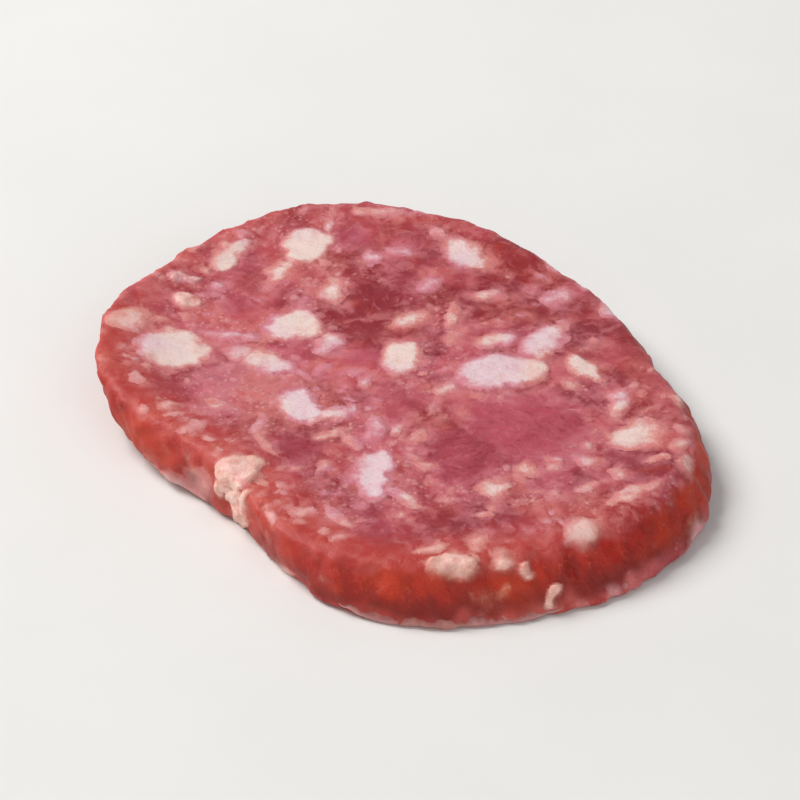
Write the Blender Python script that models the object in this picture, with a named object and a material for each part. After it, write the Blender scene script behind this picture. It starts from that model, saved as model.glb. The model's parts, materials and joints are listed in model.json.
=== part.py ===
"""A hand-cut slice of coarse cured sausage, as one solid lying on its lower cut face.

Metres, +Z up. The origin is the middle of the slice's box, on the surface that it rests on.
The knife went across the sausage at a bias, so the slice is an oval, longer than the sausage
is thick, and its outer skin leans: it flares out at the front right end of the oval and
undercuts at the back left. The slice dried unevenly, so its rim has shallow corners and
flats, its faces waver, and its margin curls off the table in places.
"""

import math

import bmesh
import bpy
from mathutils import Vector

MM = 0.001

# Driving dimensions
SAUSAGE_DIAMETER = 38.6 * MM
KNIFE_BIAS = math.radians(39.5)
THICKNESS = 4.0 * MM
LONG_AXIS_BEARING = math.radians(-55)  # from +X towards +Y: the end where the skin flares
UPPER_EDGE_RADIUS = 0.7 * MM
LOWER_EDGE_RADIUS = 0.4 * MM
SKIN_BELLY = 0.25 * MM
FLAT_SHARE = 0.66  # of the way from the middle to the rim, the underside lies flat

# Fineness of the solid
CELLS_ACROSS = 28
EDGE_STEPS = 3
SKIN_STEPS = 3

# The rim's unevenness, each as (corners round the slice, bearing of one in degrees, height)
RIM_WAVES = (
    (3, 55, 0.5 * MM),
    (4, 82, 0.75 * MM),
    (5, 39, 0.6 * MM),
)
# Where the margin curls up, each as (bearing in degrees, spread in degrees, height)
CURLS = (
    (172, 34, 0.9 * MM),  # the left margin
    (100, 38, 0.7 * MM),  # the back
    (-20, 22, 0.6 * MM),  # the corner at the front right
)
# The knife's waver over the upper face, each as (bearing in degrees, wave length, height)
RIPPLES = (
    (20, 31 * MM, 0.16 * MM),
    (-65, 19 * MM, 0.11 * MM),
    (110, 12 * MM, 0.05 * MM),
)
TAPER = 0.25 * MM  # the slice is this much thicker at its left rim than in the middle

HALF_WIDTH = SAUSAGE_DIAMETER / 2
HALF_LENGTH = HALF_WIDTH / math.cos(KNIFE_BIAS)
LEAN = math.tan(KNIFE_BIAS) * Vector((math.cos(LONG_AXIS_BEARING), math.sin(LONG_AXIS_BEARING)))

MEAT_COLOUR = (0.50, 0.15, 0.16, 1.0)
MEAT_ROUGHNESS = 0.42


def clear_scene():
    for thing in list(bpy.data.objects):
        bpy.data.objects.remove(thing, do_unlink=True)


def core_radius(bearing):
    """The plain oval that a clean bias cut through a round sausage would leave."""
    turn = bearing - LONG_AXIS_BEARING
    along = math.cos(turn) / HALF_LENGTH
    across = math.sin(turn) / HALF_WIDTH
    return 1 / math.hypot(along, across)


def rim_point(bearing):
    radius = core_radius(bearing)
    for corners, crest, height in RIM_WAVES:
        radius += height * math.cos(corners * (bearing - math.radians(crest)))
    return Vector((radius * math.cos(bearing), radius * math.sin(bearing)))


def rim_outward(bearing):
    """The unit vector that points straight out of the rim."""
    step = math.radians(0.5)
    along = rim_point(bearing + step) - rim_point(bearing - step)
    return Vector((along.y, -along.x)).normalized()


def smooth_rise(value, start, end):
    share = min(max((value - start) / (end - start), 0.0), 1.0)
    return share * share * (3 - 2 * share)


def underside_height(share, bearing):
    """How far the lower face has curled off the table, share of the way out to the rim."""
    curl = 0.0
    for centre, spread, height in CURLS:
        apart = (math.degrees(bearing) - centre + 180) % 360 - 180
        curl += height * math.exp(-((apart / spread) ** 2))
    return curl * smooth_rise(share, FLAT_SHARE, 1.0) ** 2


def local_thickness(place):
    depth = THICKNESS - TAPER * place.x / HALF_WIDTH
    for bearing, length, height in RIPPLES:
        angle = math.radians(bearing)
        along = place.x * math.cos(angle) + place.y * math.sin(angle)
        depth += height * math.sin(2 * math.pi * along / length)
    return depth


def body_point(place, share, bearing, height, drop=0.0, rise=0.0):
    """A point of the slice: height runs from 0 on the lower face to 1 on the upper one."""
    floor = underside_height(share, bearing)
    above = height * local_thickness(place) - drop + rise
    leant = place + (THICKNESS - above) * LEAN
    return Vector((leant.x, leant.y, floor + above))


def disc_cell(column, row):
    """Share of the way to the rim, and bearing, of a corner of the square grid bent to a disc."""
    a = 2 * column / CELLS_ACROSS - 1
    b = 2 * row / CELLS_ACROSS - 1
    if a == 0 and b == 0:
        return 0.0, 0.0
    if abs(a) > abs(b):
        reach = a
        bearing = math.pi / 4 * b / a
    else:
        reach = b
        bearing = math.pi / 2 - math.pi / 4 * a / b
    if reach < 0:
        reach = -reach
        bearing += math.pi
    return reach, bearing


def face_place(share, bearing, inset):
    """Where a grid corner lies on a cut face; the rim's corners fade out towards the middle."""
    core = core_radius(bearing) * Vector((math.cos(bearing), math.sin(bearing)))
    rim = rim_point(bearing) - inset * rim_outward(bearing)
    return share * core.lerp(rim, share * share)


def add_face_grid(bm, height, inset):
    grid = {}
    for column in range(CELLS_ACROSS + 1):
        for row in range(CELLS_ACROSS + 1):
            share, bearing = disc_cell(column, row)
            place = face_place(share, bearing, inset)
            grid[column, row] = bm.verts.new(body_point(place, share, bearing, height))
    for column in range(CELLS_ACROSS):
        for row in range(CELLS_ACROSS):
            bm.faces.new(
                (
                    grid[column, row],
                    grid[column + 1, row],
                    grid[column + 1, row + 1],
                    grid[column, row + 1],
                )
            )
    return grid


def grid_border():
    """The grid corners along the rim, once round."""
    last = CELLS_ACROSS
    walk = [(step, 0) for step in range(last)]
    walk += [(last, step) for step in range(last)]
    walk += [(last - step, last) for step in range(last)]
    walk += [(0, last - step) for step in range(last)]
    return walk


def skin_profile():
    """From the upper face's edge down to the lower one's: (outward, height, drop, rise)."""
    profile = []
    for step in range(1, EDGE_STEPS + 1):
        turn = math.pi / 2 * step / EDGE_STEPS
        outward = -UPPER_EDGE_RADIUS * (1 - math.sin(turn))
        profile.append((outward, 1.0, UPPER_EDGE_RADIUS * (1 - math.cos(turn)), 0.0))
    top_height = 1 - UPPER_EDGE_RADIUS / THICKNESS
    low_height = LOWER_EDGE_RADIUS / THICKNESS
    for step in range(1, SKIN_STEPS):
        share = step / SKIN_STEPS
        height = top_height + share * (low_height - top_height)
        profile.append((SKIN_BELLY * math.sin(math.pi * share), height, 0.0, 0.0))
    for step in range(EDGE_STEPS):
        turn = math.pi / 2 * (1 - step / EDGE_STEPS)
        outward = -LOWER_EDGE_RADIUS * (1 - math.sin(turn))
        profile.append((outward, 0.0, 0.0, LOWER_EDGE_RADIUS * (1 - math.cos(turn))))
    return profile


def add_skin(bm, upper, lower):
    border = grid_border()
    hoops = [[upper[corner] for corner in border]]
    for outward, height, drop, rise in skin_profile():
        hoop = []
        for corner in border:
            bearing = disc_cell(*corner)[1]
            place = rim_point(bearing) + outward * rim_outward(bearing)
            hoop.append(bm.verts.new(body_point(place, 1.0, bearing, height, drop, rise)))
        hoops.append(hoop)
    hoops.append([lower[corner] for corner in border])
    count = len(border)
    for above, below in zip(hoops, hoops[1:]):
        for here in range(count):
            after = (here + 1) % count
            bm.faces.new((above[here], below[here], below[after], above[after]))


def centre_on_box(bm):
    """Puts the origin in the middle of the slice's box; its flat underside is already at 0."""
    for axis in (0, 1):
        low = min(vert.co[axis] for vert in bm.verts)
        high = max(vert.co[axis] for vert in bm.verts)
        for vert in bm.verts:
            vert.co[axis] -= (low + high) / 2


def cured_meat():
    material = bpy.data.materials.new("cured_meat")
    material.use_nodes = True
    shader = material.node_tree.nodes["Principled BSDF"]
    shader.inputs["Base Color"].default_value = MEAT_COLOUR
    shader.inputs["Roughness"].default_value = MEAT_ROUGHNESS
    shader.inputs["Metallic"].default_value = 0.0
    return material


def make_slice():
    bm = bmesh.new()
    upper = add_face_grid(bm, 1.0, UPPER_EDGE_RADIUS)
    lower = add_face_grid(bm, 0.0, LOWER_EDGE_RADIUS)
    add_skin(bm, upper, lower)
    bmesh.ops.recalc_face_normals(bm, faces=bm.faces)
    bmesh.ops.triangulate(bm, faces=bm.faces, quad_method="SHORT_EDGE")
    centre_on_box(bm)
    mesh = bpy.data.meshes.new("salami_slice")
    bm.to_mesh(mesh)
    bm.free()
    mesh.shade_smooth()
    mesh.set_sharp_from_angle(angle=math.radians(40))
    mesh.materials.append(cured_meat())
    piece = bpy.data.objects.new("salami_slice", mesh)
    bpy.context.scene.collection.objects.link(piece)


clear_scene()
make_slice()
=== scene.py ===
"""The looks of one hand-cut slice of coarse cured sausage, lying on a pale table.

The slice's solid comes from the frame. A close-meshed skin is grown over it and worked up as
the meat itself is: chunks of lean, each with its own colour and run of fibres, grains of fat
packed between them, a dried rim, and the sausage's wrinkled outside. The same grains steer the
relief of the mesh and the colours of the material, so that both agree all through the slice.

Lengths inside the working functions are in millimetres; the finished pieces are in metres.
"""

import itertools
import json
import math

import bmesh
import bpy
import numpy as np
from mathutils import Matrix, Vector, kdtree
from mathutils.bvhtree import BVHTree

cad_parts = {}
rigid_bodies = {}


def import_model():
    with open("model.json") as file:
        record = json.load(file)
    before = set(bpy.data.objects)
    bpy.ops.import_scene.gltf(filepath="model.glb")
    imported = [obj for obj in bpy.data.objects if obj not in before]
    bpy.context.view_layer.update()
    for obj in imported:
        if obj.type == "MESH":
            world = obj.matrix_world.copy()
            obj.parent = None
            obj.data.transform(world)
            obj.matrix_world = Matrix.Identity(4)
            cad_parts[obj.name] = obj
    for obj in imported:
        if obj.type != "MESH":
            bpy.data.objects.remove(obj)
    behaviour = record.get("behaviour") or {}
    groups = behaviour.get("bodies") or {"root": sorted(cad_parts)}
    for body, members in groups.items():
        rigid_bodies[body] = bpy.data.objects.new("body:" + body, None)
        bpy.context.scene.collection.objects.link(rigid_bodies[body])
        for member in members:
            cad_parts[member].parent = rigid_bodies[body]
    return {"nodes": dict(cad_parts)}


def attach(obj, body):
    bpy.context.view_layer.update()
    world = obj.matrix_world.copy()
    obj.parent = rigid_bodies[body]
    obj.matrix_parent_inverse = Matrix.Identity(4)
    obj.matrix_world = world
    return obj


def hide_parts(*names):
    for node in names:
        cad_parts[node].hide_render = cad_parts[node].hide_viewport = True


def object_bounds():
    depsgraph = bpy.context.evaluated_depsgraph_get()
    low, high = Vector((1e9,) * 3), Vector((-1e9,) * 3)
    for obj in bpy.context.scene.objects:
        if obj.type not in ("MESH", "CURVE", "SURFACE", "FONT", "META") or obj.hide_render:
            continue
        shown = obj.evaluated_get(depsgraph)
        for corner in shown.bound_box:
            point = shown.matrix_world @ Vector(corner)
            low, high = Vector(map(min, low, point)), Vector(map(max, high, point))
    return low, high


for leftover in list(bpy.data.objects):
    bpy.data.objects.remove(leftover, do_unlink=True)

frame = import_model()
bpy.context.view_layer.update()
cad_low, cad_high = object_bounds()

MM = 0.001
NODE = "salami_slice"
BODY = "root"
MEAT_SEED = 38
CASING_SEED = 77

# How upright a normal is at most on the skin, and at least on a cut face and where it is level
SKIN_BELOW = 0.78
FACE_ABOVE = 0.86
LEVEL_ABOVE = 0.95

# The skin's mesh, kept under 200,000 triangles
MESH_PITCH = 0.207
SMOOTHING_PASSES = 11

# How the knife crossed the sausage, as the solid has it
KNIFE_BIAS = math.radians(39.5)
LONG_AXIS = math.radians(-55)
THICKNESS = 4.0
KNIFE_WAY = np.array((0.95, -0.31, 0))  # the way that the blade was drawn

# The grains of fat that the knife bared on the upper face, read off the slice in millimetres:
# (across, along, half-length, half-width, turn in degrees, whiteness)
BARED_GRAINS = (
    # the left margin
    (-20.6, 7.6, 1.9, 1.3, 30, 0.3),
    (-17.4, 4.6, 2.8, 2.7, 0, 1.15),
    (-15.4, -6.0, 1.1, 0.8, 60, 0.3),
    (-12.9, -2.9, 1.6, 0.6, -40, 0.3),
    # the back
    (-13.0, 17.9, 2.4, 1.2, 58, 0.9),
    (-7.2, 18.7, 2.7, 2.0, 85, 0.95),
    (-5.6, 22.4, 1.5, 0.7, 80, 0.7),
    (-9.3, 15.2, 2.4, 1.0, 55, 0.55),
    (-5.1, 12.8, 1.9, 1.0, 90, 0.6),
    (-2.2, 16.8, 0.8, 0.6, 10, 0.6),
    (0.3, 18.0, 1.2, 0.7, 10, 0.25),
    (-1.0, 22.8, 2.3, 0.7, -10, 0.4),
    (4.9, 17.9, 2.5, 1.6, -52, 0.95),
    (3.0, 20.2, 1.2, 0.7, -20, 0.75),
    (12.3, 17.0, 1.3, 0.8, -60, 0.5),
    (14.2, 14.0, 0.8, 0.6, 90, 0.45),
    (16.5, 11.6, 1.9, 1.2, 80, 0.5),
    (11.8, 12.4, 1.4, 1.1, 40, 0.35),
    (7.0, 12.2, 1.5, 0.9, 10, 0.3),
    # the middle
    (-8.2, 7.9, 2.3, 1.9, 30, 0.75),
    (-10.0, 3.2, 2.3, 1.4, -30, 0.4),
    (-12.2, 4.6, 1.3, 1.0, 0, 0.3),
    (-5.2, 5.9, 1.6, 1.2, 80, 0.25),
    (0.8, 9.0, 1.4, 1.2, 20, 0.6),
    (3.9, 9.4, 1.5, 0.6, 90, 0.55),
    (0.0, 3.8, 2.3, 1.6, 65, 0.9),
    (-7.5, -2.7, 2.3, 1.6, 85, 0.95),
    (-5.2, -3.6, 1.3, 0.9, -10, 0.8),
    (-3.9, -3.3, 0.8, 0.6, 90, 0.6),
    (-4.8, -6.2, 1.3, 0.6, 20, 0.45),
    (-9.9, -6.4, 2.9, 0.5, -75, 0.3),
    (7.6, 1.9, 3.3, 2.4, 10, 0.6),
    (10.9, 5.6, 2.4, 1.6, 65, 0.6),
    (7.5, 6.0, 1.4, 0.9, 0, 0.4),
    (3.6, -0.6, 1.5, 0.9, 45, 0.4),
    (12.4, 8.2, 0.8, 0.6, 90, 0.35),
    (14.0, 2.5, 2.0, 1.2, -55, 0.9),
    (16.1, -1.8, 1.7, 1.1, 90, 0.7),
    (17.8, -6.0, 2.4, 1.7, 10, 0.6),
    # the front
    (-3.3, -7.4, 1.0, 0.5, -60, 0.35),
    (-1.8, -10.7, 3.0, 1.5, 85, 0.9),
    (0.6, -13.8, 1.9, 0.8, -50, 0.6),
    (-3.7, -11.5, 0.9, 0.7, 40, 0.45),
    (-5.9, -10.4, 0.8, 0.6, 90, 0.35),
    (-4.6, -15.9, 1.6, 0.5, -45, 0.4),
    (2.1, -3.1, 1.1, 0.6, 70, 0.35),
    (1.6, -10.1, 0.7, 0.5, 0, 0.35),
    (7.0, -12.8, 1.6, 1.2, 60, 0.3),
    (8.9, -14.6, 1.1, 0.6, 60, 0.4),
    (6.1, -16.0, 0.7, 0.5, 30, 0.4),
    (9.5, -10.4, 0.8, 0.7, 20, 0.5),
    (13.9, -9.2, 1.1, 0.9, 20, 0.3),
    (13.7, -13.1, 0.8, 0.6, 60, 0.35),
    (17.1, -13.8, 2.4, 0.9, 38, 0.5),
    (13.0, -18.2, 1.5, 1.3, 20, 0.95),
    (2.4, -20.1, 1.4, 0.6, 10, 0.5),
    (5.7, -19.6, 1.1, 0.6, -70, 0.65),
    (3.7, -22.2, 1.8, 1.2, 0, 1.0),
    (7.4, -21.5, 0.9, 0.6, -10, 0.6),
    (21.0, -9.6, 1.0, 0.8, 60, 0.45),
)
# Grains at the rim that the skin doesn't cover, as (across, along, up), half-sizes, turn and lean
BARE_GRAINS = (
    ((-12.1, -11.0, 4.0), (2.1, 1.8, 0.8), 20, 0),
    ((-13.7, -11.6, 3.2), (0.9, 0.8, 1.1), -50, 0),
    ((-12.6, -12.6, 2.6), (0.9, 0.9, 1.2), 30, 0),
    ((-11.4, -13.1, 2.0), (1.0, 1.2, 2.0), 10, 20),
    ((3.5, -22.0, 3.7), (1.7, 0.9, 0.6), 0, 0),
    ((7.4, -21.7, 3.5), (0.8, 0.6, 0.4), 0, 0),
    ((9.2, -22.1, 2.9), (0.45, 0.6, 0.8), 20, 30),
    ((10.9, -22.4, 1.2), (0.45, 0.7, 1.45), 0, 38),
    ((-16.7, 13.9, 4.5), (1.7, 0.7, 0.5), 5, 0),
    ((-16.4, 11.2, 4.5), (0.9, 0.7, 0.5), -20, 0),
)
# Where more fat than elsewhere is ground into the meat, or less, which darkens the lean; at the back and
# the right the darkening is partly painted shade: (across, along, spread, more)
RICHER_AND_SHADED_PLACES = (
    (-12.0, 3.0, 5.5, 0.4),
    (-13.0, -3.0, 4.0, 0.3),
    (-8.0, 14.5, 3.5, 0.1),
    (-2.0, 9.0, 4.0, -0.65),
    (8.5, 14.0, 6.0, -0.95),
    (15.5, 8.5, 5.0, -0.8),
    (16.0, 1.0, 5.0, -0.5),
    (0.0, 21.0, 4.5, -0.4),
    (18.0, -10.0, 5.0, -0.5),
    (6.0, -17.0, 4.5, -0.75),
    (-1.0, -20.5, 3.5, -0.45),
    (-9.0, 6.0, 3.0, 0.25),
    (10.0, -5.0, 5.0, -0.2),
    (-20.5, -2.0, 3.5, -0.6),
)
# Chunks of pure lean: (across, along, radius, tone from wine at 0 to rose at 1, warmth, pallor)
LEAN_CHUNKS = (
    (9.6, -5.4, 4.6, 0.95, 0.1, 0.2),
    (4.6, -9.0, 3.4, 0.62, 0.1, 0.1),
    (-2.0, 11.0, 2.6, 0.05, 0.5, 0.0),
    (-3.0, 7.4, 1.6, 0.1, 0.6, 0.0),
    (-7.6, -8.6, 2.4, 0.35, 0.2, 0.05),
    (-11.4, 13.9, 1.6, 0.4, 0.7, 0.0),
    (13.6, 20.0, 2.6, 0.15, 0.2, 0.0),
    (17.4, 7.6, 1.8, 0.05, 0.4, 0.0),
    (-12.3, 10.6, 1.5, 0.65, 0.3, 0.2),
)
# The scattered grains, large ones first, as (how many are tried, smallest, largest, skew to
# small, share of them on the upper face, where the large ones are all given as bared grains)
SCATTERED_GRAINS = (
    (200, 0.9, 2.1, 1.5, 0.0),
    (340, 0.5, 1.0, 1.4, 0.8),
    (1300, 0.25, 0.8, 1.6, 1.0),
    (1800, 0.14, 0.34, 1.0, 1.0),
)
GRAIN_FULLNESS = 1.1  # makes up for what the wandering of their edges takes off

# Other chunks of lean fill the rest in two layers: their pitch across and up, the lower layer's
# height, the height of the listed chunks, and how softly one chunk passes into the next
CHUNK_PITCH = 2.7
LAYER_PITCH = 3.0
LOWER_LAYER = 0.6
HAND_PLACED_LAYER = 3.6
SEAM_SOFTNESS = 0.3

# Loose casing along the lower edge, as (first bearing, last bearing, top height)
PEELED_FILMS = (
    (-101, -63, 0.75),
    (-126, -117, 0.5),
    (22, 40, 0.6),
    (128, 146, 0.6),
)
FILM_ROWS = 6
FILM_STEP = math.radians(0.4)
FILM_FLOOR = 0.04
FILM_THICKNESS = (0.08, 0.04)  # at its root, and at its free edge
OUTSIDE = 60  # farther out than any part of the slice

# Bearing at which the skin is thinnest, how far round that reaches, and how much meat shows
SKIN_THINNEST = (-140, 30, 0.85)

# The table, in metres: its top, just clear of the slice's underside, how far it reaches, where
# it starts to sweep up and how high it gets; and how brightly its far edge is lit from behind
TABLE_HEIGHT = -0.00002
TABLE_RADIUS = 1.1
SWEEP_START = 0.5
SWEEP_HEIGHT = 0.3
SWEEP_GLOW = 0.3
TABLE_RINGS = 40
TABLE_SIDES = 96

# The lights, in metres and watts: (name, place, size, power, colour)
LIGHTS = (
    ("window", (-0.41, 0.2, 0.53), 0.42, 4.7, (1.0, 0.985, 0.965)),
    ("room", (0.25, -0.55, 0.35), 0.8, 1.6, (1.0, 0.98, 0.96)),
)
WORLD_COLOUR = (0.93, 0.95, 1.0, 1.0)
WORLD_STRENGTH = 0.27

# The camera looks along +Y from this high above the table and this far from the slice, in metres
CAMERA_ELEVATION = math.radians(35)
CAMERA_DISTANCE = 0.375
CAMERA_LENS = 225
SENSOR_WIDTH = 36

# Relief, as the height in millimetres that each kind of unevenness is scaled to
GRAIN_SWELL = 0.13
GRAIN_SEAM = 0.05
MEAT_UNEVENNESS = 0.11
KNIFE_MARKS = 0.02
RIM_RAGGEDNESS = 0.34
SKIN_WRINKLES = 0.15
BARE_SWELL = 0.22


# ---------------------------------------------------------------- repeatable softness


def lattice_value(cell, seed):
    """A repeatable value from 0 to 1 for every whole-number point in space."""
    mixed = cell[..., 0] * 73856093 ^ cell[..., 1] * 19349663 ^ cell[..., 2] * 83492791
    mixed = (mixed ^ seed * 40503) & 0x7FFFFFFF
    mixed = (mixed ^ mixed >> 13) * 1274126177 & 0x7FFFFFFF
    mixed = (mixed ^ mixed >> 11) * 1103515245 & 0x7FFFFFFF
    return (mixed >> 8 & 0xFFFF) / 0xFFFF


def soft_noise(points, lump, seed):
    """Smooth unevenness from -1 to 1 whose lumps are about as wide as given."""
    place = points / lump
    cell = np.floor(place).astype(np.int64)
    share = place - cell
    share = share * share * (3 - 2 * share)
    total = np.zeros(len(points))
    for corner in itertools.product((0, 1), repeat=3):
        weight = np.prod(np.where(corner, share, 1 - share), axis=1)
        total += weight * lattice_value(cell + np.array(corner), seed)
    return 2 * total - 1


def wandered(points, lump, amount, seed):
    """The points, each pushed about by soft noise, which makes whatever they measure uneven."""
    push = [soft_noise(points, lump, seed + axis) for axis in range(3)]
    return points + amount * np.stack(push, axis=1)


def rise(value, start, end):
    share = np.clip((value - start) / (end - start), 0, 1)
    return share * share * (3 - 2 * share)


def turned(degrees):
    """A turn about the vertical, as a matrix whose rows are the turned axes."""
    angle = math.radians(degrees)
    cosine = math.cos(angle)
    sine = math.sin(angle)
    return np.array(((cosine, sine, 0), (-sine, cosine, 0), (0, 0, 1)))


def leant(degrees):
    """A turn about the axis that runs along, so that upright things lean across."""
    angle = math.radians(degrees)
    cosine = math.cos(angle)
    sine = math.sin(angle)
    return np.array(((cosine, 0, -sine), (0, 1, 0), (sine, 0, cosine)))


def any_turn(rng):
    """A random turn in space, as a matrix whose rows are the turned axes."""
    turn, _ = np.linalg.qr(rng.normal(size=(3, 3)))
    return turn


# ---------------------------------------------------------------- the meat's make-up


class Grain:
    """A lump of fat: a squashed ball whose sides are planed flat where its neighbours press."""

    def __init__(self, centre, halves, turn, whiteness, rng, flats=5):
        self.centre = np.array(centre, float)
        self.halves = GRAIN_FULLNESS * np.array(halves, float)
        self.turn = turn
        self.whiteness = whiteness
        self.swell = rng.uniform(0.1, 1.0)
        sides = rng.normal(size=(flats, 3))
        self.sides = sides / np.linalg.norm(sides, axis=1)[:, None]
        self.offsets = rng.uniform(0.86, 1.25, flats)

    def depth(self, points):
        """How far each point lies inside the grain, in millimetres; negative outside it."""
        local = (points - self.centre) @ self.turn.T
        scaled = local / self.halves
        reach = np.linalg.norm(scaled, axis=1) + 1e-6
        planed = (scaled @ self.sides.T / self.offsets).max(axis=1)
        reach = np.maximum(reach, planed)
        length = np.linalg.norm(local, axis=1)
        outside = length * (1 / reach - 1)
        return np.minimum(outside, self.halves.min() * (1.02 - reach * 0.6))


def bared_grains(rng, surface_height):
    """The grains that show on the upper face, each reaching down into the slice."""
    grains = []
    for across, along, half_length, half_width, turn, whiteness in BARED_GRAINS:
        depth = rng.uniform(0.8, 1.2) * half_width
        centre = (across, along, surface_height(across, along) - 0.3 * depth)
        halves = (half_length, half_width, depth)
        grains.append(Grain(centre, halves, turned(turn), whiteness, rng))
    return grains


def far_enough(centre, radius, others, share):
    gap = [np.linalg.norm(centre - other[0]) - share * (radius + other[1]) for other in others]
    return not gap or min(gap) > 0


def scattered_grains(rng, bared, points, normals, cut):
    """The smaller grains that the knife and the skin bare all over the slice."""
    placed = [(grain.centre, grain.halves.max()) for grain in bared]
    placed += [(np.array((x, y, THICKNESS)), 0.95 * r) for x, y, r, *_ in LEAN_CHUNKS]
    plenty = soft_noise(points, 5.0, 91) + 1.2 * richness_and_shade(points)
    grains = []
    for count, small, large, skew, above in SCATTERED_GRAINS:
        for _ in range(count):
            spot = rng.integers(len(points))
            radius = small + (large - small) * rng.random() ** skew
            sunk = rng.uniform(-0.1, 0.75) * radius
            stretch = rng.uniform(0.6, 1.6, 3)
            whiteness = np.clip(rng.normal(0.5, 0.25), 0.05, 1.0)
            turn = any_turn(rng)
            likely = (0.62 + 0.55 * plenty[spot]) * (0.15 + 0.85 * cut[spot])
            if normals[spot, 2] > 0.4:
                likely *= above
            wanted = rng.random() < likely
            centre = points[spot] - sunk * normals[spot]
            if not wanted or not far_enough(centre, radius, placed, 0.85):
                continue
            placed.append((centre, radius))
            grains.append(Grain(centre, radius * stretch, turn, whiteness, rng))
    return grains


def fat_depth(points, grains):
    """The depth inside the nearest grain, and that grain's whiteness and swell."""
    depth = np.full(len(points), -3.0)
    whiteness = np.full(len(points), 0.5)
    swell = np.zeros(len(points))
    for grain in grains:
        reach = grain.halves.max() + 1.6
        near = np.flatnonzero((np.abs(points - grain.centre) < reach).all(axis=1))
        if len(near) == 0:
            continue
        here = grain.depth(points[near])
        deeper = here > depth[near]
        won = near[deeper]
        depth[won] = here[deeper]
        whiteness[won] = grain.whiteness
        swell[won] = grain.swell
    return depth, whiteness, swell


def lean_seeds(rng, extent):
    """The middles of the chunks of lean, with each one's size, tone, warmth and fibre turn."""
    seeds = []
    for x, y, *facts in LEAN_CHUNKS:
        seeds.append((np.array((x, y, HAND_PLACED_LAYER)), *facts, any_turn(rng)))
    columns = int(2 * extent[0] / CHUNK_PITCH) + 1
    rows = int(2 * extent[1] / CHUNK_PITCH) + 1
    for column, row, layer in itertools.product(range(columns), range(rows), range(2)):
        corner = np.array((column * CHUNK_PITCH, row * CHUNK_PITCH, layer * LAYER_PITCH))
        middle = corner + (CHUNK_PITCH / 2 - extent[0], CHUNK_PITCH / 2 - extent[1], LOWER_LAYER)
        middle += rng.uniform(-0.45, 0.45, 3) * CHUNK_PITCH
        tone = np.clip(rng.normal(0.5, 0.26), 0, 1)
        pallor = rng.random() ** 1.6
        seeds.append((middle, rng.uniform(0.8, 1.7), tone, rng.random(), pallor, any_turn(rng)))
    return seeds


def lean_make_up(points, seeds):
    """Every point's tone, warmth and pallor, how near a seam it is, and its fibre coordinates."""
    total = np.zeros(len(points))
    strongest = np.zeros(len(points))
    facts = np.zeros((len(points), 3))
    owner = np.zeros(len(points), int)
    for index, (middle, radius, tone, warmth, pallor, _) in enumerate(seeds):
        near = np.flatnonzero((np.abs(points - middle) < radius + 4.0).all(axis=1))
        away = np.linalg.norm(points[near] - middle, axis=1) - radius
        weight = np.exp(-away / SEAM_SOFTNESS)
        total[near] += weight
        facts[near] += weight[:, None] * (tone, warmth, pallor)
        ahead = weight > strongest[near]
        owner[near[ahead]] = index
        strongest[near[ahead]] = weight[ahead]
    turns = np.array([seed[-1] for seed in seeds])[owner]
    fibre = np.einsum("nij,nj->ni", turns, points)
    seam = np.clip(2 * (1 - strongest / total), 0, 1)
    tone, warmth, pallor = (facts / total[:, None]).T
    return tone, warmth, pallor, seam, fibre


def richness_and_shade(points):
    """How much more fat than elsewhere is ground into the meat; negative where there is less, and partly
    painted shade where the meat is darkened at the back and the right.
    """
    total = np.zeros(len(points))
    for across, along, spread, more in RICHER_AND_SHADED_PLACES:
        away = np.hypot(points[:, 0] - across, points[:, 1] - along)
        total += more * np.exp(-((away / spread) ** 2))
    return total


def fat_share(points, depth):
    """How much ground fat is smeared through the meat, from none in the pure lean to plenty."""
    share = 0.55 + 0.45 * soft_noise(points, 3.6, 81) + 0.25 * soft_noise(points, 1.5, 82)
    share += 0.7 * richness_and_shade(points)
    share += 0.35 * rise(depth, -1.4, 0.0)
    for across, along, radius, *_ in LEAN_CHUNKS:
        away = np.linalg.norm(points - (across, along, THICKNESS), axis=1)
        share -= 0.9 * rise(away, radius * 1.15, radius * 0.6)
    return np.clip(share, 0, 1)


# ---------------------------------------------------------------- the skin's mesh


def new_piece(name, data):
    piece = bpy.data.objects.new(name, data)
    bpy.context.scene.collection.objects.link(piece)
    return piece


def hand_over(name, mesh):
    """Makes a finished mesh a piece of the looks that stands for the slice's solid."""
    piece = new_piece(name, mesh)
    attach(piece, BODY)
    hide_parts(NODE)


def grown_skin(node):
    """A close, even mesh over the node's solid, in millimetres, with its facets smoothed away."""
    mesh = node.data.copy()
    bm = bmesh.new()
    bm.from_mesh(mesh)
    bmesh.ops.remove_doubles(bm, verts=bm.verts, dist=0.001 * MM)
    bmesh.ops.scale(bm, vec=(1 / MM,) * 3, verts=bm.verts)
    bm.to_mesh(mesh)
    bm.free()
    rough = new_piece("rough_skin", mesh)
    rounding = rough.modifiers.new("rounding", "SUBSURF")
    rounding.levels = 2
    rounding.render_levels = 2
    weaving = rough.modifiers.new("weaving", "REMESH")
    weaving.mode = "VOXEL"
    weaving.voxel_size = MESH_PITCH
    easing = rough.modifiers.new("easing", "SMOOTH")
    easing.factor = 0.5
    easing.iterations = SMOOTHING_PASSES
    evaluated = rough.evaluated_get(bpy.context.evaluated_depsgraph_get())
    fine = bpy.data.meshes.new_from_object(evaluated)
    bpy.data.objects.remove(rough, do_unlink=True)
    bpy.data.meshes.remove(mesh)
    fine.materials.clear()
    return fine


def read_points(mesh):
    points = np.empty(len(mesh.vertices) * 3)
    mesh.vertices.foreach_get("co", points)
    return points.reshape(-1, 3)


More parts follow.
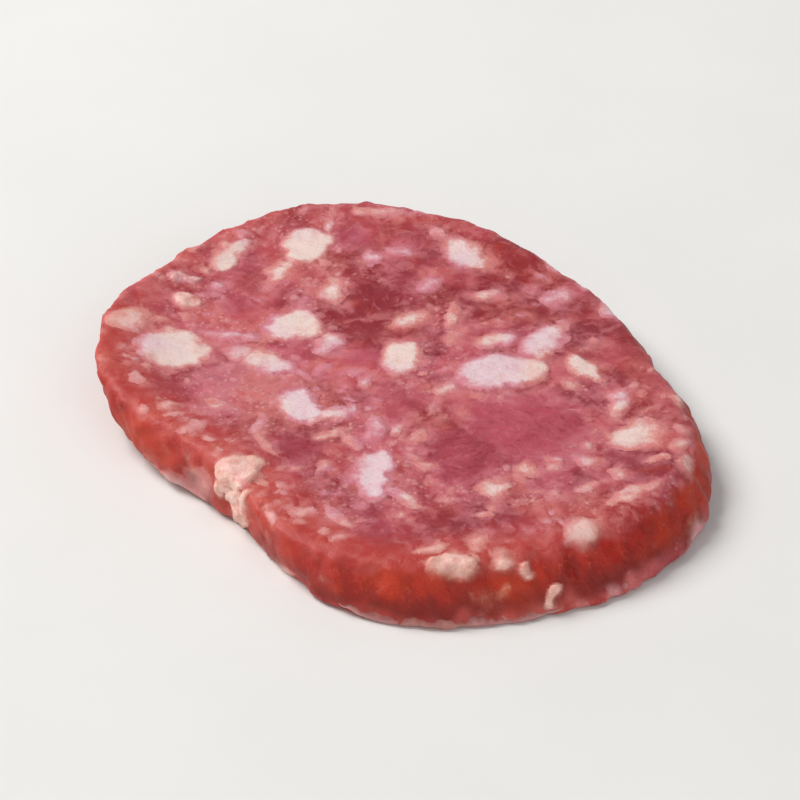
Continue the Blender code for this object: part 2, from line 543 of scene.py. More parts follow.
def read_normals(mesh):
    normals = np.empty(len(mesh.vertices) * 3)
    mesh.vertex_normals.foreach_get("vector", normals)
    return normals.reshape(-1, 3)


def write_points(mesh, points):
    mesh.vertices.foreach_set("co", points.astype(np.float32).ravel())
    mesh.update()


def store(mesh, name, values):
    """Keeps one value, or one vector, for each point of the mesh, for the material to read."""
    kind, field = ("FLOAT", "value") if values.ndim == 1 else ("FLOAT_VECTOR", "vector")
    layer = mesh.attributes.new(name, kind, "POINT")
    layer.data.foreach_set(field, values.astype(np.float32).ravel())


def way_from(points, chosen):
    """How far each point lies from the nearest of the chosen ones."""
    tree = kdtree.KDTree(int(chosen.sum()))
    for index, place in enumerate(points[chosen]):
        tree.insert(place, index)
    tree.balance()
    return np.array([0.0 if own else tree.find(place)[2] for place, own in zip(points, chosen)])


def thin_skin(points):
    """Where the skin is so thin, round the left of the front, that the meat shows through it."""
    bearing = np.degrees(np.arctan2(points[:, 1], points[:, 0]))
    centre, spread, most = SKIN_THINNEST
    apart = (bearing - centre + 180) % 360 - 180
    return most * np.exp(-((apart / spread) ** 2)) * (0.8 + 0.5 * soft_noise(points, 2.2, 95))


def along_sausage():
    """The way that the sausage ran, which its skin's wrinkles follow."""
    slope = math.tan(KNIFE_BIAS)
    way = np.array((slope * math.cos(LONG_AXIS), slope * math.sin(LONG_AXIS), -1.0))
    return way / np.linalg.norm(way)


def stretched(points, way, share):
    """The points squeezed along one way, so that noise read there runs long that way."""
    return points - np.outer(points @ way, way) * (1 - share)


def find_zones(points, normals):
    """How far each point is on a cut face, its way in from the skin, and its way off the faces."""
    upright = np.abs(normals[:, 2])
    cut = 1 - np.clip(1.6 * (1 - rise(upright, 0.62, 0.9)), 0, 1)
    rim = way_from(points, upright < SKIN_BELOW)
    wall = way_from(points, upright > FACE_ABOVE)
    return cut, rim, wall


def all_grains(rng, points, normals, cut):
    """Every grain of fat, and of them the ones that lie bare at the rim."""
    upper = points[normals[:, 2] > LEVEL_ABOVE]

    def surface_height(across, along):
        away = np.hypot(upper[:, 0] - across, upper[:, 1] - along)
        return upper[away.argmin(), 2]

    bared = bared_grains(rng, surface_height)
    bare = []
    for middle, halves, turn, lean in BARE_GRAINS:
        bare.append(Grain(middle, halves, leant(lean) @ turned(turn), 1.0, rng))
    return bared + bare + scattered_grains(rng, bared + bare, points, normals, cut), bare


def relief(points, depth, swell, bare_depth, cut):
    """How far each point is raised along its normal: grains, their seams, and unevenness."""
    height = GRAIN_SWELL * (swell - 0.25) * rise(depth, -0.1, 0.5)
    height -= GRAIN_SEAM * np.exp(-((depth / 0.22) ** 2))
    height += MEAT_UNEVENNESS * 0.6 * soft_noise(points, 2.1, 51)
    height += MEAT_UNEVENNESS * 0.4 * soft_noise(points, 0.7, 52)
    drawn = stretched(wandered(points, 9.0, 0.6, seed=55), KNIFE_WAY, 0.07)
    height += KNIFE_MARKS * (soft_noise(drawn, 1.3, 53) + 0.6 * soft_noise(drawn, 0.6, 54)) * cut
    way = along_sausage()
    creases = soft_noise(stretched(points, way, 0.3), 0.9, 61)
    creases += 0.6 * soft_noise(stretched(points, way, 0.4), 2.3, 62)
    height += SKIN_WRINKLES * creases * (1 - cut)
    crumble = 1.1 + 0.8 * soft_noise(points, 0.8, 63) + 0.5 * soft_noise(points, 0.45, 64)
    crumble = np.maximum(crumble, 0.55)
    height += BARE_SWELL * crumble * rise(bare_depth, -0.2, 0.5)
    return height


def worked_points(points, normals, height, rim):
    """The points raised by their height, and pushed sideways at the rim to make it ragged."""
    outward = normals * (1, 1, 0)
    ragged = soft_noise(points, 2.4, 71) + 0.5 * soft_noise(points, 0.9, 72)
    push = RIM_RAGGEDNESS * ragged * np.exp(-((rim / 0.8) ** 2))
    moved = points + normals * height[:, None] + outward * push[:, None]
    moved[:, 2] = np.maximum(moved[:, 2], 0.0)
    return moved


def make_slice(looks):
    """The slice itself; gives its finished surface, in millimetres, for the casing to lie on."""
    rng = np.random.default_rng(MEAT_SEED)
    mesh = grown_skin(frame["nodes"][NODE])
    points = read_points(mesh)
    normals = read_normals(mesh)
    cut, rim, wall = find_zones(points, normals)
    grains, bare = all_grains(rng, points, normals, cut)
    seeds = lean_seeds(rng, points[:, :2].max(axis=0))

    loose = wandered(points, 2.0, 0.5, seed=11)
    loose = wandered(loose, 0.8, 0.26, seed=21)
    depth, whiteness, swell = fat_depth(loose, grains)
    rugged = wandered(loose, 0.9, 0.45, seed=25)
    bare_depth = fat_depth(rugged, bare)[0]
    depth = np.maximum(depth, bare_depth)
    bare_share = rise(bare_depth, -0.15, 0.2)
    flesh = rise(wall + 0.7 * soft_noise(points, 1.1, 96), 1.5, 0.1)
    flesh = np.maximum.reduce((flesh, bare_share, thin_skin(points)))
    bent = wandered(wandered(points, 2.6, 0.8, seed=31), 0.9, 0.25, seed=41)
    tone, warmth, pallor, seam, fibre = lean_make_up(bent, seeds)
    # How much fat is ground in here; where it darkens the lean at the back and the right it is partly
    # painted shade
    rich_and_shaded = richness_and_shade(bent)

    height = relief(points, depth, swell, bare_depth, cut)
    moved = worked_points(points, normals, height, rim)
    write_points(mesh, moved * MM)
    mesh.shade_smooth()

    store(mesh, "fat_depth", depth)
    store(mesh, "whiteness", whiteness)
    store(mesh, "lean_tone", np.clip(tone + 0.45 * rich_and_shaded, 0, 1))
    store(mesh, "lean_warmth", warmth)
    store(mesh, "pallor", np.clip(pallor + 0.8 * rich_and_shaded, 0, 1))
    store(mesh, "seam", seam)
    store(mesh, "fat_share", fat_share(bent, depth))
    store(mesh, "fibre", fibre)
    store(mesh, "rim", rim)
    store(mesh, "flesh", flesh)
    store(mesh, "bare", bare_share * (1 - 0.5 * cut))

    mesh.materials.append(cured_meat(looks))
    hand_over("cured_slice", mesh)
    polygons = [tuple(face.vertices) for face in mesh.polygons]
    return BVHTree.FromPolygons([Vector(place) for place in moved], polygons)


# ---------------------------------------------------------------- loose casing at the edges


class Sheets:
    """Thin closed sheets, gathered into one mesh, each point with how free of the slice it is."""

    def __init__(self):
        self.points = []
        self.faces = []
        self.free = []

    def add(self, middle, thickness):
        """Adds a sheet round a grid of points, whose rows go away from the slice."""
        along = np.gradient(middle, axis=0)
        away = np.gradient(middle, axis=1)
        normal = np.cross(along, away)
        normal /= np.linalg.norm(normal, axis=2, keepdims=True) + 1e-9
        offset = normal * thickness[..., None] / 2
        long_side, wide_side = middle.shape[:2]
        first = len(self.points)
        back = first + long_side * wide_side
        self.points.extend((middle + offset).reshape(-1, 3))
        self.points.extend((middle - offset).reshape(-1, 3))
        share = np.tile(np.linspace(0, 1, wide_side), long_side)
        self.free.extend((*share, *share))

        def front(i, j):
            return first + i * wide_side + j

        for i in range(long_side - 1):
            for j in range(wide_side - 1):
                ring = (front(i, j), front(i + 1, j), front(i + 1, j + 1), front(i, j + 1))
                self.faces.append(ring)
                self.faces.append(tuple(corner + back - first for corner in reversed(ring)))
        border = [front(i, 0) for i in range(long_side)]
        border += [front(long_side - 1, j) for j in range(1, wide_side)]
        border += [front(i, wide_side - 1) for i in range(long_side - 2, -1, -1)]
        border += [front(0, j) for j in range(wide_side - 2, 0, -1)]
        for here, after in zip(border, border[1:] + border[:1]):
            self.faces.append((here, here + back - first, after + back - first, after))

    def finish(self, name, material):
        mesh = bpy.data.meshes.new(name)
        mesh.from_pydata([tuple(MM * place) for place in self.points], [], self.faces)
        bm = bmesh.new()
        bm.from_mesh(mesh)
        bmesh.ops.recalc_face_normals(bm, faces=bm.faces)
        bm.to_mesh(mesh)
        bm.free()
        store(mesh, "free", np.array(self.free))
        mesh.shade_smooth()
        mesh.materials.append(material)
        hand_over(name, mesh)


def skin_place(surface, bearing, height):
    """Where the slice's outside is, and which way it faces, at a bearing and a height."""
    way = Vector((math.cos(bearing), math.sin(bearing), 0))
    place, normal, _, _ = surface.ray_cast(way * OUTSIDE + Vector((0, 0, height)), -way)
    return np.array(place), np.array(normal)


def peeled_film(sheets, surface, start, end, top, rng):
    """A strip of casing that hangs from the skin and comes away towards its lower edge."""
    steps = max(int(abs(end - start) / FILM_STEP), 8)
    middle = np.zeros((steps, FILM_ROWS, 3))
    thickness = np.zeros((steps, FILM_ROWS))
    drift = rng.uniform(0, 50)
    root, edge = FILM_THICKNESS
    for i, bearing in enumerate(np.linspace(start, end, steps)):
        share = i / (steps - 1)
        along = np.array(((share * 30 + drift, 0.0, 0.0),))
        wobble = soft_noise(along, 1.7, 301)[0] + 0.6 * soft_noise(along, 0.6, 302)[0]
        ends = min(1.0, 5 * share, 5 * (1 - share))
        upper = top * (0.85 + 0.3 * wobble)
        lower = max(upper - ends * (0.8 + 0.4 * wobble) * top - 0.1, FILM_FLOOR)
        lift = 0.03 + 0.06 * ends * (1 + wobble)
        for j in range(FILM_ROWS):
            down = j / (FILM_ROWS - 1)
            place, normal = skin_place(surface, bearing, upper + (lower - upper) * down)
            out = normal * np.array((1, 1, 0.3))
            middle[i, j] = place + out * (-0.05 + (0.05 + lift) * down ** 1.3)
            middle[i, j, 2] = max(middle[i, j, 2], FILM_FLOOR)
            thickness[i, j] = root - (root - edge) * down
    sheets.add(middle, thickness)


def make_casing(surface, looks):
    """The casing that has come loose along the lower edge."""
    rng = np.random.default_rng(CASING_SEED)
    film = casing_film(looks)
    sheets = Sheets()
    for start, end, top in PEELED_FILMS:
        peeled_film(sheets, surface, math.radians(start), math.radians(end), top, rng)
    sheets.finish("casing_film_strips", film)


# ---------------------------------------------------------------- shader building


def tint(red, green, blue):
    """A colour given as a painter's 0 to 255 values, as the linear colour that a shader takes."""
    linear = []
    for value in (red, green, blue):
        share = value / 255
        linear.append(share / 12.92 if share < 0.04045 else ((share + 0.055) / 1.055) ** 2.4)
    return (*linear, 1.0)


LEAN_WINE = tint(130, 28, 42)
LEAN_BRICK = tint(146, 34, 40)
LEAN_ROSE = tint(182, 76, 94)
LEAN_SALMON = tint(190, 80, 85)
LEAN_PALE_STREAK = tint(206, 114, 122)
LEAN_DARK_STREAK = tint(122, 24, 36)
FAT_PINK_COOL = tint(206, 122, 136)
FAT_WHITE_COOL = tint(228, 200, 205)
FAT_PINK_WARM = tint(210, 126, 122)
FAT_WHITE_WARM = tint(231, 207, 199)
FAT_VEIN = tint(208, 126, 130)
SMEAR_COOL = tint(206, 122, 134)
SMEAR_WARM = tint(214, 126, 120)
FLECK_PINK = tint(224, 158, 158)
MARGIN_RED = tint(182, 56, 47)
MARGIN_ORANGE = tint(203, 97, 81)
MARGIN_CREAM = tint(226, 158, 142)
BARE_SHADE = tint(228, 160, 144)
BARE_CREAM = tint(246, 212, 198)
SKIN_DARK = tint(122, 16, 3)
SKIN_RED = tint(172, 27, 4)
SKIN_ORANGE = tint(196, 56, 14)
SKIN_CREAM = tint(232, 166, 134)
SKIN_BLOOM = tint(194, 88, 62)


class Graph:
    """Short words for wiring one node tree."""

    def __init__(self, tree):
        self.tree = tree

    def add(self, kind, inputs=(), **settings):
        node = self.tree.nodes.new(kind)
        for name, value in settings.items():
            setattr(node, name, value)
        for socket, value in dict(inputs).items():
            self.feed(value, node.inputs[socket])
        return node

    def feed(self, value, socket):
        if isinstance(value, bpy.types.NodeSocket):
            self.tree.links.new(value, socket)
        elif value is not None:
            socket.default_value = value

    def math(self, operation, *values):
        node = self.add("ShaderNodeMath", operation=operation)
        for value, socket in zip(values, node.inputs):
            self.feed(value, socket)
        return node.outputs[0]

    def sum(self, first, *others):
        for value in others:
            first = self.math("ADD", first, value)
        return first

    def centred(self, value, gain=1.0):
        """A 0 to 1 value shifted to swing about nought, and stretched."""
        return self.math("MULTIPLY_ADD", value, gain, -0.5 * gain)

    def vector(self, operation, *values, scale=None, output="Vector"):
        node = self.add("ShaderNodeVectorMath", operation=operation)
        for value, socket in zip(values, node.inputs):
            self.feed(value, socket)
        if scale is not None:
            self.feed(scale, node.inputs["Scale"])
        return node.outputs[output]

    def mix(self, share, first, second):
        node = self.add("ShaderNodeMix", data_type="RGBA")
        self.feed(share, node.inputs["Factor"])
        self.feed(first, node.inputs["A"])
        self.feed(second, node.inputs["B"])
        colours = [socket for socket in node.outputs if socket.type == "RGBA"]
        return colours[0]

    def blend(self, share, first, second):
        node = self.add("ShaderNodeMix", data_type="FLOAT")
        self.feed(share, node.inputs[0])
        self.feed(first, node.inputs[2])
        self.feed(second, node.inputs[3])
        return node.outputs[0]

    def between(self, value, low, high, start=0.0, end=1.0):
        """The value eased from start to end while it goes from low to high."""
        node = self.add("ShaderNodeMapRange", interpolation_type="SMOOTHSTEP")
        for socket, amount in zip(node.inputs, (value, low, high, start, end)):
            self.feed(amount, socket)
        return node.outputs[0]

    def noise(self, place, scale, detail=2.0, roughness=0.5, distortion=0.0):
        inputs = {
            "Vector": place,
            "Scale": scale,
            "Detail": detail,
            "Roughness": roughness,
            "Distortion": distortion,
        }
        return self.add("ShaderNodeTexNoise", inputs).outputs["Fac"]

    def noise_colour(self, place, scale, detail=2.0):
        """Three soft values that swing about nought, to push a place about."""
        node = self.add("ShaderNodeTexNoise", {"Vector": place, "Scale": scale, "Detail": detail})
        return self.vector("SUBTRACT", node.outputs["Color"], (0.5, 0.5, 0.5))

    def cells(self, place, scale):
        """How far the nearest random cell's middle is, and that cell's colour read as a value."""
        node = self.add("ShaderNodeTexVoronoi", {"Vector": place, "Scale": scale})
        return node.outputs["Distance"], self.math("ADD", node.outputs["Color"], 0.0)

    def attribute(self, name, output="Fac"):
        return self.add("ShaderNodeAttribute", attribute_name=name).outputs[output]


def new_group(name, inputs, outputs):
    """An empty shader group with named sockets; gives its graph, its inputs and its output node."""
    tree = bpy.data.node_groups.new(name, "ShaderNodeTree")
    kinds = {"value": "NodeSocketFloat", "vector": "NodeSocketVector", "colour": "NodeSocketColor"}
    for socket, kind in inputs:
        tree.interface.new_socket(socket, in_out="INPUT", socket_type=kinds[kind])
    for socket, kind in outputs:
        tree.interface.new_socket(socket, in_out="OUTPUT", socket_type=kinds[kind])
    graph = Graph(tree)
    entry = graph.add("NodeGroupInput")
    leave = graph.add("NodeGroupOutput")
    return graph, entry.outputs, leave.inputs


def place_group(graph, tree, **inputs):
    node = graph.add("ShaderNodeGroup", node_tree=tree)
    for socket, value in inputs.items():
        graph.feed(value, node.inputs[socket.replace("_", " ")])
    return node.outputs


def ragged_edge():
    """Turns a distance to a border into a mask whose edge is ragged and soft, as torn fat is."""
    graph, given, out = new_group(
        "ragged edge",
        (("Place", "vector"), ("Distance", "value"), ("Raggedness", "value"), ("Softness", "value")),
        (("Mask", "value"), ("Distance", "value")),
    )
    coarse = graph.noise(given["Place"], 1.3, 4.0, 0.62)
    fine = graph.noise(given["Place"], 4.6, 3.0, 0.6)
    wobble = graph.sum(graph.centred(coarse), graph.centred(fine, 0.45))
    distance = graph.sum(given["Distance"], graph.math("MULTIPLY", wobble, given["Raggedness"]))
    # In some places the border is crisp, and in others the fat is smeared out over the lean
    smeared = graph.between(graph.noise(given["Place"], 0.7, 2.0), 0.4, 0.65, 0.6, 2.6)
    softness = graph.math("MULTIPLY", given["Softness"], smeared)
    low = graph.math("MULTIPLY", softness, -1.0)
    graph.feed(graph.between(distance, low, softness), out["Mask"])
    graph.feed(distance, out["Distance"])
    return graph.tree


def ground_fat():
    """Flecks and threads of fat ground into the lean; the share says how many there are."""
    graph, given, out = new_group(
        "ground fat",
        (("Place", "vector"), ("Share", "value")),
        (("Mask", "value"), ("Height", "value")),
    )
    drift = graph.vector("SCALE", graph.noise_colour(given["Place"], 1.2, 2.0), scale=0.45)
    place = graph.vector("ADD", given["Place"], drift)
    masks = []
    for scale, reach, rarity in ((1.0, 0.62, 0.25), (2.3, 0.62, 0.1)):
        distance, chance = graph.cells(place, scale)
        size = graph.math("SUBTRACT", graph.math("MULTIPLY", chance, given["Share"]), rarity)
        size = graph.math("MULTIPLY", size, reach)
        edge = graph.math("SUBTRACT", size, distance)
        masks.append(graph.between(edge, -0.14, 0.26))
    ridge = graph.math("ABSOLUTE", graph.centred(graph.noise(place, 0.5, 1.5, 0.5)))
    thread = graph.between(ridge, 0.06, 0.0, 0.0, 0.3)
    broken = graph.between(graph.noise(given["Place"], 1.1, 2.0), 0.46, 0.62)
    thread = graph.math("MULTIPLY", graph.math("MULTIPLY", thread, broken), given["Share"])
    flecks = graph.math("MAXIMUM", masks[0], graph.math("MULTIPLY", masks[1], 0.8))
    graph.feed(graph.math("MAXIMUM", flecks, thread), out["Mask"])
    graph.feed(graph.math("MAXIMUM", flecks, thread), out["Height"])
    return graph.tree


def fat_flesh():
    """Cured back fat: pinkish and glassy where it is thin, creamy white in a grain's middle."""
    graph, given, out = new_group(
        "fat flesh",
        (("Place", "vector"), ("Depth", "value"), ("Whiteness", "value")),
        (("Color", "colour"), ("Height", "value")),
    )
    mottle = graph.noise(given["Place"], 1.1, 4.0, 0.55)
    pores = graph.noise(given["Place"], 3.4, 2.0, 0.5)
    hue = graph.noise(given["Place"], 0.16, 1.0)
    body = graph.between(given["Depth"], -0.1, 1.1)
    body = graph.math("MULTIPLY", body, graph.blend(given["Whiteness"], 0.5, 1.15))
    body = graph.sum(body, graph.centred(mottle, 1.2), graph.centred(pores, 0.5))
    lavender = graph.mix(graph.between(body, 0.0, 1.0), FAT_PINK_COOL, FAT_WHITE_COOL)
    cream = graph.mix(graph.between(body, 0.0, 1.0), FAT_PINK_WARM, FAT_WHITE_WARM)
    colour = graph.mix(graph.between(hue, 0.42, 0.58), lavender, cream)
    vein = graph.math("ABSOLUTE", graph.centred(graph.noise(given["Place"], 0.9, 3.0, 0.6, 0.6)))
    vein = graph.between(vein, 0.03, 0.0)
    colour = graph.mix(graph.math("MULTIPLY", vein, 0.2), colour, FAT_VEIN)
    graph.feed(colour, out["Color"])
    height = graph.sum(graph.centred(mottle, 0.9), graph.centred(pores, 0.3))
    graph.feed(graph.math("SUBTRACT", height, graph.math("MULTIPLY", vein, 0.08)), out["Height"])
    return graph.tree


def lean_flesh():
    """Cured lean: wine to rose, clouded, and streaked along its fibres."""
    graph, given, out = new_group(
        "lean flesh",
        (
            ("Place", "vector"),
            ("Fibre", "vector"),
            ("Tone", "value"),
            ("Warmth", "value"),
            ("Seam", "value"),
        ),
        (("Color", "colour"), ("Height", "value")),
    )
    inside = graph.between(given["Seam"], 0.7, 0.1)
    along = graph.vector("MULTIPLY", given["Fibre"], (0.8, 2.4, 2.4))
    streaks = graph.centred(graph.noise(along, 1.0, 3.0, 0.62))
    streaks = graph.math("MULTIPLY", streaks, inside)
    clouds = graph.noise(given["Place"], 0.42, 4.0, 0.6)
    grit = graph.noise(given["Place"], 2.6, 4.0, 0.66)
    tone = graph.sum(given["Tone"], graph.centred(clouds, 1.1), graph.centred(grit, 0.6))
    dark = graph.mix(given["Warmth"], LEAN_WINE, LEAN_BRICK)
    light = graph.mix(given["Warmth"], LEAN_ROSE, LEAN_SALMON)
    colour = graph.mix(graph.between(tone, 0.0, 1.0), dark, light)
    colour = graph.mix(graph.between(streaks, 0.04, 0.22, 0.0, 0.45), colour, LEAN_PALE_STREAK)
    colour = graph.mix(graph.between(streaks, -0.04, -0.22, 0.0, 0.5), colour, LEAN_DARK_STREAK)
    graph.feed(colour, out["Color"])
    graph.feed(graph.sum(graph.math("MULTIPLY", streaks, 0.25), graph.centred(grit, 0.5)), out["Height"])
    return graph.tree


def dried_skin():
    """The sausage's outside: dry and orange red, with cream where fat lies under it, and painted shade in
    its creases and along its lower edge.
    """
    graph, given, out = new_group(
        "dried skin",
        (("Place", "vector"), ("Fat", "value")),
        (("Color", "colour"), ("Roughness", "value"), ("Height", "value")),
    )
    way = Vector(along_sausage())
    along = graph.add("ShaderNodeVectorMath", operation="DOT_PRODUCT")
    graph.feed(given["Place"], along.inputs[0])
    graph.feed(tuple(way), along.inputs[1])
    pull = graph.vector("SCALE", tuple(way), scale=graph.math("MULTIPLY", along.outputs["Value"], -0.45))
    drawn = graph.vector("ADD", given["Place"], pull)
    creases = graph.noise(drawn, 0.9, 3.0, 0.55)
    wrinkles = graph.noise(drawn, 2.0, 3.0, 0.6, 0.8)
    clouds = graph.noise(given["Place"], 0.22, 2.0, 0.5)
    grain = graph.noise(given["Place"], 2.4, 4.0, 0.66)
    # Darker red down in the creases: partly the skin's own tone, partly painted shade in their hollows
    crease_tone_and_shade = graph.sum(creases, graph.centred(wrinkles, 0.25))
    colour = graph.mix(graph.between(crease_tone_and_shade, 0.28, 0.6, 0.35, 1.0), SKIN_DARK, SKIN_RED)
    colour = graph.mix(graph.between(clouds, 0.42, 0.64, 0.0, 0.7), colour, SKIN_ORANGE)
    shown = graph.math("MULTIPLY", given["Fat"], graph.between(grain, 0.3, 0.6, 0.5, 0.9))
    colour = graph.mix(shown, colour, SKIN_CREAM)
    bloom = graph.between(graph.sum(grain, graph.centred(wrinkles, 0.4)), 0.57, 0.72, 0.0, 0.45)
    colour = graph.mix(bloom, colour, SKIN_BLOOM)
    # Darker towards the lower edge of the wall: painted shade where it meets the table
    up = graph.vector("DOT_PRODUCT", given["Place"], (0.0, 0.0, 1.0), output="Value")
    low = graph.between(graph.sum(up, graph.centred(clouds, 3.0)), 2.8, 0.6, 0.0, 0.9)
    colour = graph.mix(low, colour, SKIN_DARK)
    graph.feed(colour, out["Color"])
    graph.feed(graph.between(grain, 0.3, 0.7, 0.44, 0.6), out["Roughness"])
    height = graph.sum(graph.centred(creases, 1.2), graph.centred(wrinkles, 0.8), graph.centred(grain, 0.9))
    graph.feed(height, out["Height"])
    return graph.tree


def new_material(name):
    material = bpy.data.materials.new(name)
    material.use_nodes = True
    graph = Graph(material.node_tree)
    shader = material.node_tree.nodes["Principled BSDF"]
    centre = graph.add("ShaderNodeTexCoord").outputs["Object"]
    return material, graph, shader, graph.vector("MULTIPLY", centre, (1 / MM,) * 3)


def cured_meat(looks):
    material, graph, shader, place = new_material("cured_meat")
    rim = graph.attribute("rim")
    flesh_mask = graph.attribute("flesh")
    share = graph.attribute("fat_share")

    lean = place_group(
        graph,
        looks["lean_flesh"],
        Place=place,
        Fibre=graph.attribute("fibre", "Vector"),
        Tone=graph.attribute("lean_tone"),
        Warmth=graph.attribute("lean_warmth"),
        Seam=graph.attribute("seam"),
    )
    edge = place_group(
        graph,
        looks["ragged_edge"],
        Place=place,
        Distance=graph.attribute("fat_depth"),
        Raggedness=0.9,
        Softness=0.2,
    )
    fat = place_group(
        graph,
        looks["fat_flesh"],
        Place=place,
        Depth=edge["Distance"],
        Whiteness=graph.attribute("whiteness"),
    )
    ground = place_group(graph, looks["ground_fat"], Place=place, Share=share)

    # Pale smears of fat over the lean: between the chunks, and round the grains
    veil = graph.noise(place, 0.8, 5.0, 0.66, 0.6)
    seam = graph.math("MULTIPLY", graph.attribute("seam"), graph.between(veil, 0.42, 0.6))
    near = graph.between(edge["Distance"], -1.5, 0.0)
    near = graph.math("MULTIPLY", near, graph.between(veil, 0.35, 0.62))
    worked_in = graph.sum(graph.attribute("pallor"), graph.centred(veil, 1.6))
    haze = graph.math("MULTIPLY", graph.between(worked_in, 0.35, 1.1), graph.blend(share, 0.25, 1.0))
    smear = graph.math("MAXIMUM", graph.math("MULTIPLY", seam, 0.5), graph.math("MULTIPLY", near, 0.7))
    smear = graph.math("MAXIMUM", smear, graph.math("MULTIPLY", haze, 0.8))
    smear_colour = graph.mix(graph.attribute("lean_warmth"), SMEAR_COOL, SMEAR_WARM)
    colour = graph.mix(smear, lean["Color"], smear_colour)
    colour = graph.mix(graph.math("MULTIPLY", ground["Mask"], 0.6), colour, FLECK_PINK)

    # The dried margin is redder and warmer, most of all at the left and the front
    front = graph.vector("DOT_PRODUCT", place, (-0.6, -0.8, 0.0), output="Value")
    front = graph.between(front, -4.0, 14.0, 0.15, 0.85)
    drying = graph.between(graph.sum(rim, graph.centred(veil, 4.5)), 5.4, 0.6)
    drying = graph.math("MULTIPLY", drying, front)
    colour = graph.mix(drying, colour, graph.mix(smear, MARGIN_RED, MARGIN_ORANGE))
    fat_colour = graph.mix(graph.math("MULTIPLY", drying, 0.6), fat["Color"], MARGIN_CREAM)
    bare = graph.attribute("bare")
    bare_colour = graph.mix(graph.between(veil, 0.35, 0.65), BARE_SHADE, BARE_CREAM)
    fat_colour = graph.mix(graph.math("MULTIPLY", bare, 0.9), fat_colour, bare_colour)
    colour = graph.mix(edge["Mask"], colour, fat_colour)

    under = graph.sum(graph.attribute("fat_depth"), graph.centred(veil, 2.2))
    under = graph.between(under, 0.0, 1.3)
    skin = place_group(graph, looks["dried_skin"], Place=place, Fat=under)
    colour = graph.mix(flesh_mask, skin["Color"], colour)
    graph.feed(colour, shader.inputs["Base Color"])

    rough = graph.blend(edge["Mask"], 0.4, 0.34)
    rough = graph.sum(rough, graph.centred(veil, 0.5), graph.between(rim, 1.2, 0.0, 0.0, 0.14))
    graph.feed(graph.blend(flesh_mask, skin["Roughness"], rough), shader.inputs["Roughness"])

    flesh = graph.sum(lean["Height"], graph.math("MULTIPLY", ground["Height"], 0.35))
    lumps = graph.math("MULTIPLY", fat["Height"], graph.blend(bare, 1.0, 2.2))
    relief = graph.blend(edge["Mask"], flesh, graph.sum(lumps, 0.4))
    relief = graph.blend(flesh_mask, skin["Height"], relief)
    bump = graph.add("ShaderNodeBump", {"Strength": 0.6, "Distance": 0.2 * MM, "Height": relief})
    graph.feed(bump.outputs["Normal"], shader.inputs["Normal"])

    shader.inputs["Subsurface Weight"].default_value = 0.3
    shader.inputs["Subsurface Radius"].default_value = (1.0, 0.35, 0.25)
    shader.inputs["Subsurface Scale"].default_value = 0.7 * MM
    shader.inputs["Specular IOR Level"].default_value = 0.4
    return material


def casing_film(looks):
    """The casing where it has come away: whitish, with the red of the skin left on it."""
    material, graph, shader, place = new_material("casing_film")
    skin = place_group(graph, looks["dried_skin"], Place=place, Fat=0.2)
    fat = place_group(graph, looks["fat_flesh"], Place=place, Depth=0.3, Whiteness=0.4)
    free = graph.sum(graph.attribute("free"), graph.centred(graph.noise(place, 1.8, 3.0), 0.8))
    left = graph.between(free, 0.0, 0.9, 0.25, 0.85)
    pale = graph.mix(0.5, fat["Color"], MARGIN_CREAM)
    graph.feed(graph.mix(left, skin["Color"], pale), shader.inputs["Base Color"])
    graph.feed(graph.blend(left, skin["Roughness"], 0.4), shader.inputs["Roughness"])
    bump = graph.add("ShaderNodeBump", {"Strength": 0.4, "Distance": 0.1 * MM, "Height": skin["Height"]})
    graph.feed(bump.outputs["Normal"], shader.inputs["Normal"])
    shader.inputs["Subsurface Weight"].default_value = 0.4
    shader.inputs["Subsurface Radius"].default_value = (1.0, 0.45, 0.35)
    shader.inputs["Subsurface Scale"].default_value = 0.6 * MM
    shader.inputs["Coat Weight"].default_value = 0.1
    shader.inputs["Coat Roughness"].default_value = 0.3
    return material


# ---------------------------------------------------------------- table, light and camera


def make_table():
    """A round pale table top whose far edge sweeps up softly all round, like a studio's paper."""
    verts = [(0.0, 0.0, TABLE_HEIGHT)]
    for ring in range(1, TABLE_RINGS + 1):
        radius = TABLE_RADIUS * ring / TABLE_RINGS
        lift = max(radius - SWEEP_START, 0.0) / (TABLE_RADIUS - SWEEP_START)
        height = TABLE_HEIGHT + SWEEP_HEIGHT * lift ** 2
        for side in range(TABLE_SIDES):
            angle = 2 * math.pi * side / TABLE_SIDES
            verts.append((radius * math.cos(angle), radius * math.sin(angle), height))
    faces = [(0, 1 + side, 1 + (side + 1) % TABLE_SIDES) for side in range(TABLE_SIDES)]
    for ring in range(TABLE_RINGS - 1):
        first = 1 + ring * TABLE_SIDES
        for side in range(TABLE_SIDES):
            after = (side + 1) % TABLE_SIDES
            outer = first + TABLE_SIDES
            faces.append((first + side, outer + side, outer + after, first + after))
    mesh = bpy.data.meshes.new("table")
    mesh.from_pydata(verts, [], faces)
    mesh.shade_smooth()
    mesh.materials.append(pale_table())
    table = new_piece("table", mesh)


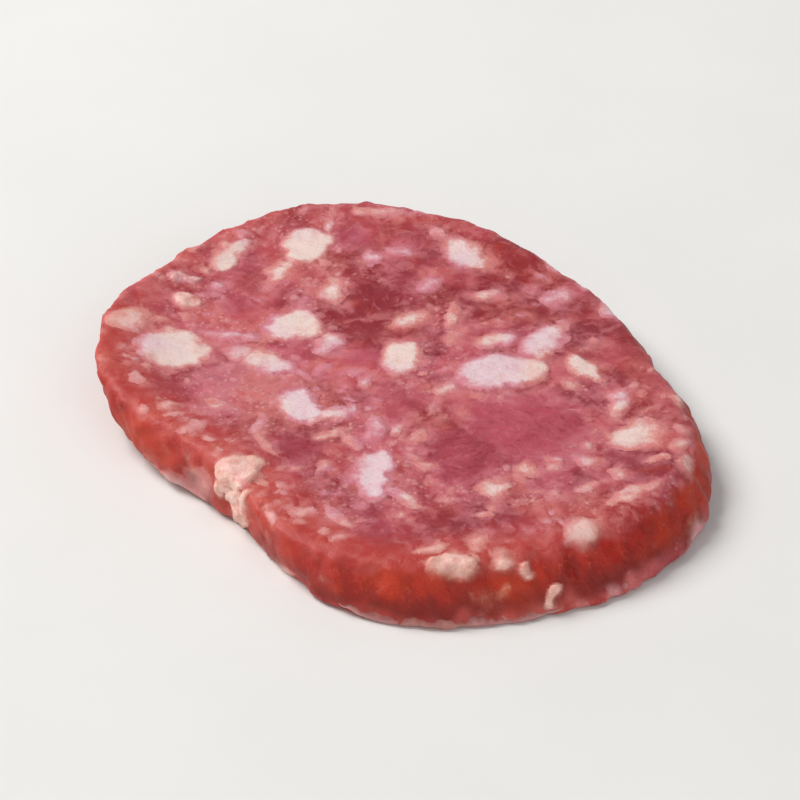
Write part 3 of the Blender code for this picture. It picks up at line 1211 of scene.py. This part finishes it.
def pale_table():
    """Nearly white, a little clouded, and brighter where the far sweep is lit from behind."""
    material = bpy.data.materials.new("pale_table")
    material.use_nodes = True
    graph = Graph(material.node_tree)
    shader = material.node_tree.nodes["Principled BSDF"]
    centre = graph.add("ShaderNodeTexCoord").outputs["Object"]
    cloud = graph.noise(centre, 60.0, 3.0)
    colour = graph.mix(cloud, tint(226, 225, 222), tint(233, 232, 230))
    graph.feed(colour, shader.inputs["Base Color"])
    shader.inputs["Roughness"].default_value = 0.7
    flat = graph.vector("MULTIPLY", centre, (1.0, 1.0, 0.0))
    radius = graph.vector("LENGTH", flat, output="Value")
    glow = graph.between(radius, SWEEP_START - 0.25, SWEEP_START + 0.4, 0.0, SWEEP_GLOW)
    lit = graph.mix(glow, (0.0, 0.0, 0.0, 1.0), (1.0, 1.0, 0.99, 1.0))
    graph.feed(lit, shader.inputs["Emission Color"])
    shader.inputs["Emission Strength"].default_value = 1.0
    return material


def make_light(name, place, size, power, colour):
    data = bpy.data.lights.new(name, "AREA")
    data.shape = "DISK"
    data.size = size
    data.energy = power
    data.color = colour
    lamp = new_piece(name, data)
    lamp.location = place
    lamp.rotation_euler = (-Vector(place)).to_track_quat("-Z", "Y").to_euler()


def make_lights():
    for light in LIGHTS:
        make_light(*light)
    world = bpy.data.worlds.new("pale_room")
    world.use_nodes = True
    background = world.node_tree.nodes["Background"]
    background.inputs["Color"].default_value = WORLD_COLOUR
    background.inputs["Strength"].default_value = WORLD_STRENGTH
    bpy.context.scene.world = world


def make_camera():
    middle = (cad_low + cad_high) / 2
    back = Vector((0, -math.cos(CAMERA_ELEVATION), math.sin(CAMERA_ELEVATION)))
    data = bpy.data.cameras.new("camera")
    data.lens = CAMERA_LENS
    data.sensor_width = SENSOR_WIDTH
    camera = new_piece("camera", data)
    camera.location = middle + CAMERA_DISTANCE * back
    camera.rotation_euler = (-back).to_track_quat("-Z", "Y").to_euler()
    bpy.context.scene.camera = camera


bpy.context.scene.view_settings.view_transform = "Standard"
shared_looks = {
    "ragged_edge": ragged_edge(),
    "ground_fat": ground_fat(),
    "fat_flesh": fat_flesh(),
    "lean_flesh": lean_flesh(),
    "dried_skin": dried_skin(),
}
slice_surface = make_slice(shared_looks)
make_casing(slice_surface, shared_looks)
make_table()
make_lights()
make_camera()
